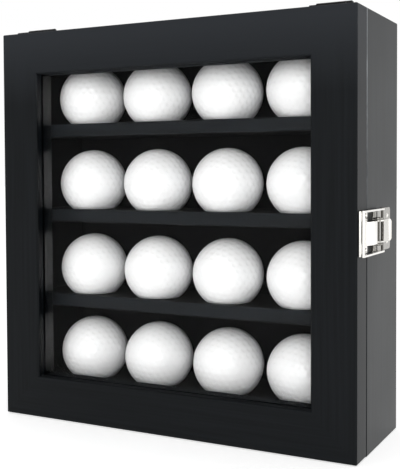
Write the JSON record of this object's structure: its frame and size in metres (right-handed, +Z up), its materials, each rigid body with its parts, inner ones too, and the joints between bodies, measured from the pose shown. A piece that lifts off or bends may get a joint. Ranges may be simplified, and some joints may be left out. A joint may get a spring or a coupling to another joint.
{
  "type": "golf ball display case",
  "caption": "Black wooden wall or shelf case with a glazed top-hinged door, a toggle latch and rows of sunk seats that hold golf balls.",
  "frame": {"origin": "middle of the underside of the case body, on the surface it stands on", "axes": "+Z up, the door faces -Y, +X to the right of someone who faces the door, where the latch is"},
  "size_m": [0.2362, 0.0784, 0.2443],
  "materials": {
    "black_wood": "satin black paint on wood",
    "black_board": "matt black paint on thin board",
    "clear_pane": "clear and polished; glass is assumed",
    "golf_ball": "white lacquered golf ball cover",
    "black_hinge": "black lacquered steel",
    "nickel_plate": "bright nickel plate on pressed steel",
    "plated_nail": "bright plated steel",
    "steel_nail": "dark steel",
    "zinc_steel": "zinc plated steel strip"
  },
  "bodies": {
    "case": {"back_brads": "steel_nail", "back_panel": "black_board", "ball_row1_1": "golf_ball", "ball_row1_2": "golf_ball", "ball_row1_3": "golf_ball", "ball_row1_4": "golf_ball", "ball_row2_1": "golf_ball", "ball_row2_2": "golf_ball", "ball_row2_3": "golf_ball", "ball_row2_4": "golf_ball", "ball_row3_1": "golf_ball", "ball_row3_2": "golf_ball", "ball_row3_3": "golf_ball", "ball_row3_4": "golf_ball", "ball_row4_1": "golf_ball", "ball_row4_2": "golf_ball", "ball_row4_3": "golf_ball", "ball_row4_4": "golf_ball", "bottom_board": "black_wood", "bottom_panel": "black_wood", "hanger_left": "zinc_steel", "hanger_nails": "steel_nail", "hanger_right": "zinc_steel", "hinge_left_case_leaf": "black_hinge", "hinge_left_pin": "black_hinge", "hinge_right_case_leaf": "black_hinge", "hinge_right_pin": "black_hinge", "hinge_screws_case": "black_hinge", "latch_base": "nickel_plate", "latch_base_nails": "plated_nail", "latch_lever_pin": "nickel_plate", "shelf_lower": "black_wood", "shelf_middle": "black_wood", "shelf_upper": "black_wood", "side_left": "black_wood", "side_right": "black_wood", "top_panel": "black_wood"},
    "door": {"door_pane": "clear_pane", "door_rail_bottom": "black_wood", "door_rail_top": "black_wood", "door_stile_left": "black_wood", "door_stile_right": "black_wood", "glazing_bead_bottom": "black_wood", "glazing_bead_left": "black_wood", "glazing_bead_right": "black_wood", "glazing_bead_top": "black_wood", "hinge_left_door_leaf": "black_hinge", "hinge_right_door_leaf": "black_hinge", "hinge_screws_door": "black_hinge", "latch_strike": "nickel_plate", "latch_strike_nails": "plated_nail"},
    "latch_lever": {"latch_lever": "nickel_plate"},
    "latch_loop": {"latch_loop": "nickel_plate", "latch_loop_pin": "nickel_plate"}
  },
  "joints": [
    {"name": "door_hinge", "type": "hinge", "parent": "case", "child": "door", "pos_m": [0, -0.0307, 0.2423], "axis": [-1, 0, 0], "range_deg": [0, 180]},
    {"name": "lever_pivot", "type": "hinge", "parent": "case", "child": "latch_lever", "pos_m": [0.1182, -0.0205, 0.1211], "axis": [0, 0, -1], "range_deg": [0, 140]},
    {"name": "loop_pivot", "type": "hinge", "parent": "latch_lever", "child": "latch_loop", "pos_m": [0.1176, -0.0105, 0.1211], "axis": [0, 0, -1], "range_deg": [-140, 0]}
  ],
  "couplings": [
    {"joint": "loop_pivot", "follows": "lever_pivot", "ratio": -1}
  ]
}
